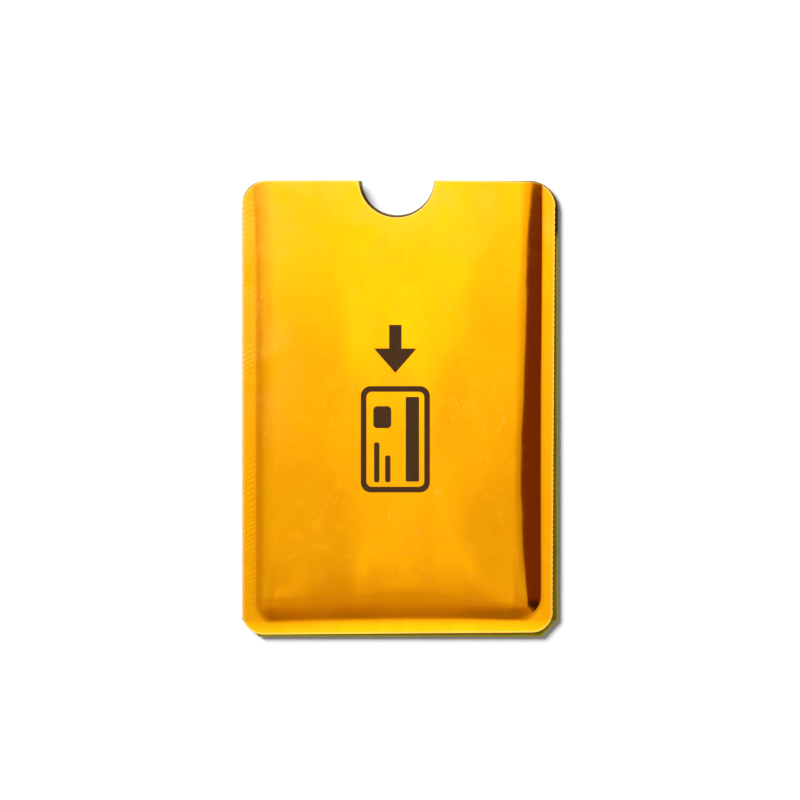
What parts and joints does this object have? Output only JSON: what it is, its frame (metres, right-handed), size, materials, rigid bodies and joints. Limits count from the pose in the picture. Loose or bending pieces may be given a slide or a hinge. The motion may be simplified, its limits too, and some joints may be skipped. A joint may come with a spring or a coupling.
{
  "type": "card sleeve",
  "caption": "Slim open-top card sleeve of gold aluminium laminate, heat-sealed on the sides and bottom, puffed pocket, half-round thumb notch at the mouth.",
  "frame": {"origin": "on the surface the sleeve lies on, under the middle of its outline", "axes": "+X to the right across the front face, +Y along the sleeve towards the mouth, +Z out of the front face"},
  "size_m": [0.063, 0.091, 0.0029],
  "materials": {
    "gold_film": "gold-tinted metallised film, near-mirror gloss",
    "aluminium_foil": "bright rolled foil",
    "sealing_liner": "satin sealing film, dark olive in the shade of the pocket",
    "fused_seal": "satin fused film over gold lacquer, olive at the cut edge"
  },
  "bodies": {
    "root": {"front_film": "gold_film", "front_foil": "aluminium_foil", "front_liner": "sealing_liner", "back_film": "gold_film", "back_foil": "aluminium_foil", "back_liner": "sealing_liner", "left_seal": "fused_seal", "right_seal": "fused_seal", "bottom_seal": "fused_seal"}
  },
  "joints": []
}
